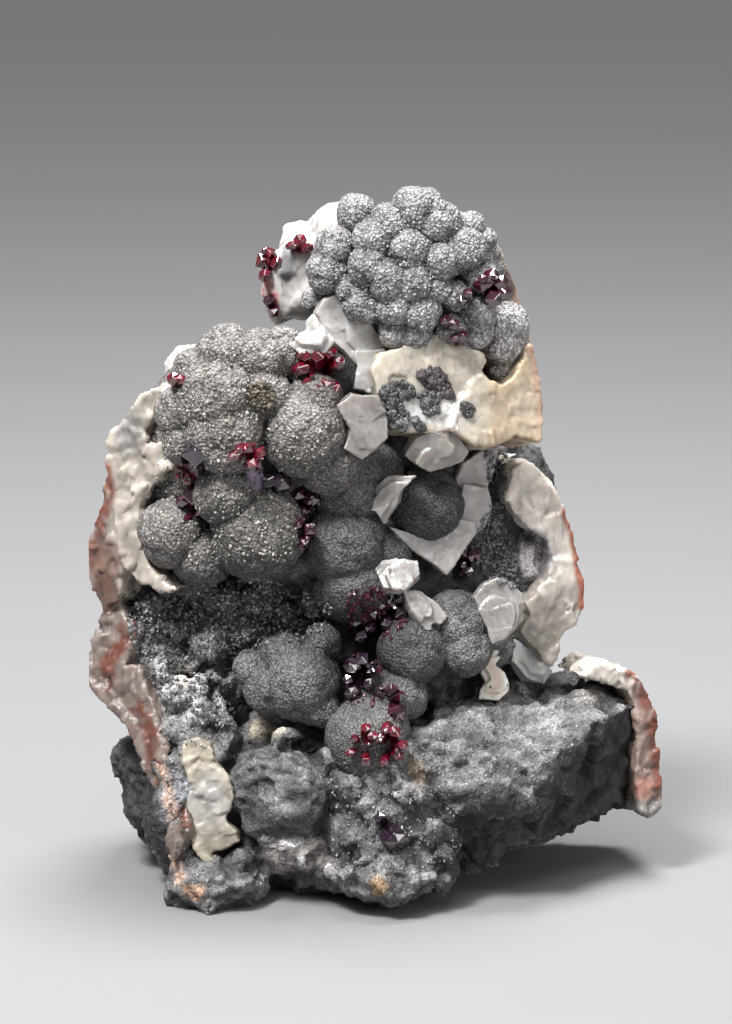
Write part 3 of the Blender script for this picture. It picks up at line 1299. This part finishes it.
def build_blades():
    clear = calcite_material("blade_calcite", 0.26, 1.8, 0.25, clear=0.4)
    cream = calcite_material("hook_calcite", 0.45, 0.8, 0.25)
    for number, (name, blade) in enumerate(BLADES.items()):
        mesh = fused(name, blade_solid(name, number, *blade), 0.145)
        points = points_of(mesh)
        bend = smooth_noise(points, 2.2, 230 + number) * 0.22
        push_out(mesh, chips(points, 2.6, 200 + number) * 0.06 + bend)
        points = points_of(mesh)
        push_out(mesh, chips(points, 0.7, 260 + number) * 0.03)
        colour = BLADE_COLOURS.get(name, BLADE_COLOUR)
        set_tint(mesh, shaded(mesh, plain_tint(points, colour, 290, 0.2), 1.0, 25))
        finish_piece(name, mesh, cream if name == "calcite_hook" else clear, name, "calcite")
        keep_tree(mesh)


# Proustite


# Clusters that aren't wine red
BRIGHT_RED = (
    "proustite_ruby", "proustite_pink", "proustite_crown_left", "proustite_crown_top", "proustite_spray_left",
    "proustite_spray_right", "proustite_chip_red", "proustite_shoulder_bit",
)
DARK_PURPLE = (
    "proustite_prism_dark", "proustite_tablet", "proustite_ledge_prism", "proustite_dark_upper",
    "proustite_dark_side", "proustite_dark_lower",
)


def add_crystal(bm, foot, tip, radius, source, shade=0):
    """A prism of four to six sides with a point, from its foot to its tip."""
    axis = tip - foot
    sides = source.choice((4, 5, 6, 6))
    point = min(source.uniform(0.2, 0.8) * radius, 0.3 * axis.length)
    length = axis.length - point
    place = Matrix.Translation(foot) @ axis.to_track_quat("Z", "Y").to_matrix().to_4x4()
    one = bmesh.new()
    bmesh.ops.create_cone(
        one, cap_ends=True, segments=sides, radius1=radius * 0.94, radius2=radius, depth=length,
        matrix=Matrix.Translation((0, 0, length / 2)),
    )
    top = max(one.faces, key=lambda face: face.calc_center_median().z)
    bmesh.ops.poke(one, faces=[top], offset=point)
    squash = Matrix.Diagonal((1, source.uniform(0.65, 1), 1, 1))
    turn = Matrix.Rotation(source.uniform(0, 1), 4, "Z")
    bmesh.ops.transform(one, matrix=place @ turn @ squash, verts=one.verts)
    bmesh.ops.bevel(one, geom=one.edges, offset=radius * 0.06, segments=1, affect="EDGES")
    for face in one.faces:
        face.material_index = shade
    made = bpy.data.meshes.new("crystal")
    one.to_mesh(made)
    one.free()
    bm.from_mesh(made)
    bpy.data.meshes.remove(made)


def build_crystals():
    bright = proustite_material("red_proustite", (0.125, 0.002, 0.014), 0.35, 0.06)
    wine = proustite_material("wine_proustite", (0.042, 0.003, 0.013), 0.25, 0.07)
    purple = proustite_material("purple_proustite", (0.014, 0.005, 0.013), 0.1, 0.07)
    lavender = proustite_material("lavender_proustite", (0.22, 0.18, 0.26), 0.4, 0.15)
    source = random.Random(8)
    for name, (root, crystals) in PROUSTITE.items():
        surface = surface_at(*root)
        bm = bmesh.new()
        single = len(crystals) <= 2
        for column, row, forward, radius in crystals:
            tip = seen_on_plane(column, row, surface - FORWARD * (forward + CRYSTAL_STAND) * MM, FORWARD)
            spread = 0.0 if single else source.uniform(0.1, 0.5)
            foot = surface + FORWARD * CRYSTAL_ROOT * MM
            aside = tip - surface
            aside -= FORWARD * aside.dot(FORWARD)
            girth = 1.5 if single else source.uniform(1.2, 1.6)
            shade = 0 if single else source.choice((0, 1, 1, 2))
            add_crystal(bm, foot + aside * spread, tip, radius * girth * MM, source, shade)
            if not single and source.random() < 0.6:
                jump = Vector((source.uniform(-1, 1), source.uniform(-0.4, 0), source.uniform(-1, 1)))
                jump = jump * radius * 1.2 * MM
                thin = radius * source.uniform(0.45, 0.8) * MM
                add_crystal(bm, foot + aside * spread, tip + jump - aside * 0.2, thin, source, shade)
        material = (wine, purple, bright)
        if name in BRIGHT_RED:
            material = (bright, wine, purple)
        if name in DARK_PURPLE:
            material = (purple, wine, lavender)
        if name == "proustite_column":
            material = (lavender, purple, wine)
        mesh = bpy.data.meshes.new(name)
        bm.to_mesh(mesh)
        bm.free()
        finish_piece(name, mesh, material, name, "proustite", smooth=False)


# Crusts of small grains


# In radians
FULL_TURN = 6.28


def template(sides):
    """Points and faces of one grain: a rough ball, or a short crystal with two points."""
    bm = bmesh.new()
    if sides:
        bmesh.ops.create_cone(bm, cap_ends=True, segments=sides, radius1=0.7, radius2=0.7, depth=1.4)
        caps = [face for face in bm.faces if abs(face.normal.z) > 0.9]
        bmesh.ops.poke(bm, faces=caps, offset=0.5)
    else:
        bmesh.ops.create_icosphere(bm, subdivisions=1, radius=1)
    bmesh.ops.triangulate(bm, faces=bm.faces)
    points = np.array([corner.co for corner in bm.verts])
    faces = np.array([[corner.index for corner in face.verts] for face in bm.faces])
    bm.free()
    return points, faces


def scatter(name, outline, count, sizes, sides, seed, material, tint, home, sink=0.35):
    """Grains strewn over what the front view shows inside an outline; home is the node and its slot."""
    source = random.Random(seed)
    shape, faces = template(sides)
    columns = [corner[0] for corner in outline]
    rows = [corner[1] for corner in outline]
    points, colours = [], []
    while len(points) < count:
        column = source.uniform(min(columns), max(columns))
        row = source.uniform(min(rows), max(rows))
        if not within(np.array([column]), np.array([row]), outline)[0]:
            continue
        size = sizes[0] + (sizes[1] - sizes[0]) * source.random() ** 2
        turn = Matrix.Rotation(source.uniform(0, FULL_TURN), 3, "X")
        turn = turn @ Matrix.Rotation(source.uniform(0, FULL_TURN), 3, "Z")
        stretch = Matrix.Diagonal([size * MM * source.uniform(0.7, 1.25) for _ in range(3)])
        place = surface_at(column, row) - FORWARD * size * MM * (1 - 2 * sink)
        points.append(shape @ np.array(turn @ stretch).T + np.array(place))
        colours.append(np.tile(np.array(tint) * source.uniform(0.5, 1.6), (len(shape), 1)))
    corners = np.concatenate(points)
    joined = np.concatenate([faces + number * len(shape) for number in range(count)])
    mesh = bpy.data.meshes.new(name)
    mesh.from_pydata(corners.tolist(), [], joined.tolist())
    mesh.update()
    set_tint(mesh, np.concatenate(colours))
    finish_piece(name, mesh, material, *home, smooth=False)


# Outlines of the places in the front view that the crusts cover
BOWL = [
    (122, 592), (150, 592), (178, 590), (215, 582), (262, 578), (300, 590), (330, 600), (335, 625),
    (300, 640), (262, 645), (236, 660), (232, 700), (238, 722), (228, 738), (195, 712), (160, 700),
    (140, 665), (130, 640),
]
LEDGE_TOP = [
    (425, 702), (470, 690), (540, 674), (600, 676), (634, 696), (592, 722), (560, 765), (526, 795),
    (440, 790),
]
LOWER_FRONT = [(330, 765), (420, 735), (450, 790), (470, 855), (380, 885), (335, 868), (330, 820)]
LEFT_FRONT = [
    (160, 700), (215, 715), (225, 745), (180, 745), (186, 800), (190, 860), (215, 880), (196, 895),
    (170, 830),
]
PURPLE_UPPER = [(346, 592), (368, 586), (405, 594), (406, 622), (392, 640), (350, 640)]
PURPLE_LOWER = [(343, 660), (356, 648), (380, 655), (392, 690), (372, 706), (346, 704)]
RIGHT_HOLLOW = [
    (484, 450), (508, 455), (503, 520), (516, 550), (518, 590), (480, 575), (470, 545), (492, 500),
]
SEAM_DARK = [(244, 386), (268, 380), (278, 398), (266, 412), (248, 408)]
CROWN_FACE = [(330, 230), (380, 205), (450, 205), (500, 280), (500, 325), (420, 335), (380, 330), (330, 300)]
SHOULDER_FACE = [
    (180, 370), (250, 345), (330, 400), (330, 480), (300, 560), (200, 570), (150, 540), (160, 440),
]


def build_crusts():
    dark = druse_material("dark_druse", 0.45, 0.1)
    grey = druse_material("grey_druse", 0.6, 0.0)
    purple = druse_material("purple_druse", 0.12, 0.3)
    share = 1.0
    rock = ("matrix_rock", "rock")
    shoulder = ("arsenic_shoulder", "arsenic")
    crown = ("arsenic_crown", "arsenic")
    upper = ("proustite_dark_upper", "proustite")
    lower = ("proustite_dark_lower", "proustite")
    # Name, outline, count, least and largest size in mm, sides, material, colour, node and slot
    crusts = [
        ("bowl", BOWL, 2400, (0.08, 0.32), 0, dark, (0.10, 0.10, 0.105), rock),
        ("bowl_bright", BOWL, 350, (0.08, 0.22), 5, grey, (0.30, 0.30, 0.29), rock),
        ("ledge", LEDGE_TOP, 500, (0.06, 0.16), 5, grey, (0.19, 0.185, 0.18), rock),
        ("front", LOWER_FRONT, 800, (0.06, 0.2), 5, grey, (0.16, 0.157, 0.152), rock),
        ("left", LEFT_FRONT, 400, (0.06, 0.2), 5, grey, (0.17, 0.167, 0.165), rock),
        ("hollow", RIGHT_HOLLOW, 900, (0.08, 0.3), 0, dark, (0.12, 0.12, 0.125), rock),
        ("seam", SEAM_DARK, 160, (0.10, 0.35), 0, dark, (0.06, 0.05, 0.035), shoulder),
        ("purple", PURPLE_UPPER, 300, (0.08, 0.4), 5, purple, (0.05, 0.012, 0.026), upper),
        ("purple_low", PURPLE_LOWER, 200, (0.08, 0.4), 5, purple, (0.05, 0.014, 0.026), lower),
        ("crown", CROWN_FACE, 900, (0.08, 0.2), 0, grey, (0.20, 0.20, 0.20), crown),
        ("shoulder", SHOULDER_FACE, 1300, (0.08, 0.22), 0, grey, (0.21, 0.20, 0.18), shoulder),
    ]
    for number, (place, outline, count, sizes, sides, material, tint, home) in enumerate(crusts):
        name = f"druse_{place}"
        scatter(name, outline, int(count * share), sizes, sides, 300 + number, material, tint, home)


# Dark grains of arsenic that sit on the honey calcite: outline, count and colour
CLUMPS = [
    (
        [(419, 372), (424, 365), (436, 368), (450, 385), (452, 396), (440, 398), (422, 384)],
        60, (0.085, 0.07, 0.075),
    ),
    ([(378, 390), (392, 381), (410, 385), (414, 397), (398, 406), (382, 403)], 50, (0.11, 0.11, 0.11)),
    ([(415, 396), (430, 390), (441, 398), (436, 412), (422, 413)], 40, (0.11, 0.11, 0.11)),
    ([(387, 408), (398, 402), (407, 414), (404, 430), (390, 428)], 36, (0.13, 0.13, 0.125)),
    ([(462, 404), (470, 399), (475, 408), (470, 416), (462, 411)], 18, (0.12, 0.12, 0.12)),
    ([(413, 420), (426, 422), (423, 430), (416, 428)], 12, (0.12, 0.12, 0.12)),
]


def build_clumps():
    look = grain_material("clump_grain", 0.22, 0.1, 0.4, 0.35, 0.6)
    home = ("calcite_honey_wedge", "honey_calcite")
    for number, (outline, count, tint) in enumerate(CLUMPS):
        name = f"arsenic_clump_{number + 1}"
        scatter(name, outline, count, (0.3, 0.75), 0, 400 + number, look, tint, home, sink=0.4)


# Stage


# Half the length of the floor's sides, in metres
FLOOR_REACH = 3.0
# Width of the camera's sensor in mm
SENSOR = 36


def build_stage():
    """A wide pale floor, soft lights and the camera."""
    pale, _, shader = new_material("pale_stage")
    shader.inputs["Base Color"].default_value = (0.19, 0.19, 0.193, 1)
    shader.inputs["Roughness"].default_value = 0.9
    bm = bmesh.new()
    bmesh.ops.create_grid(bm, x_segments=1, y_segments=1, size=FLOOR_REACH)
    mesh = bpy.data.meshes.new("floor")
    bm.to_mesh(mesh)
    bm.free()
    mesh.materials.append(pale)
    placed("floor", mesh)

    world = bpy.data.worlds.new("studio")
    bpy.context.scene.world = world
    world.use_nodes = True
    background = world.node_tree.nodes["Background"]
    background.inputs["Color"].default_value = (0.97, 0.97, 1, 1)
    background.inputs["Strength"].default_value = 0.22

    # Name, place in metres, size in metres, power in watts
    lights = [
        ("key", (-0.15, -0.20, 0.42), 0.12, 3.95),
        ("top", (0.04, 0.08, 0.45), 0.16, 3.0),
        ("fill", (0.35, -0.40, 0.20), 0.30, 0.8),
    ]
    for name, place, size, power in lights:
        lamp = bpy.data.lights.new(name, "AREA")
        lamp.shape = "DISK"
        lamp.size = size
        lamp.energy = power
        obj = placed(name, lamp)
        obj.location = place
        obj.rotation_euler = (Vector((0, 0, 0.04)) - Vector(place)).to_track_quat("-Z", "Y").to_euler()

    sky = bpy.data.lights.new("sky", "SUN")
    sky.energy = 2.0
    sky.angle = math.radians(50)
    overhead = placed("sky", sky)
    overhead.rotation_euler = (math.radians(25), 0, math.radians(-20))

    camera = placed("camera", bpy.data.cameras.new("camera"))
    camera.location = EYE
    camera.rotation_euler = (math.pi / 2 - VIEW_ELEVATION, 0, 0)
    camera.data.sensor_width = SENSOR
    camera.data.lens = SENSOR / (VIEW_ROWS * PIXEL / VIEW_DISTANCE)
    camera.data.clip_start = 0.01
    bpy.context.scene.camera = camera
    bpy.context.scene.view_settings.view_transform = "Standard"


build_rock()
build_calcite()
build_arsenic()
build_clumps()
build_blades()
build_crystals()
build_crusts()
build_stage()
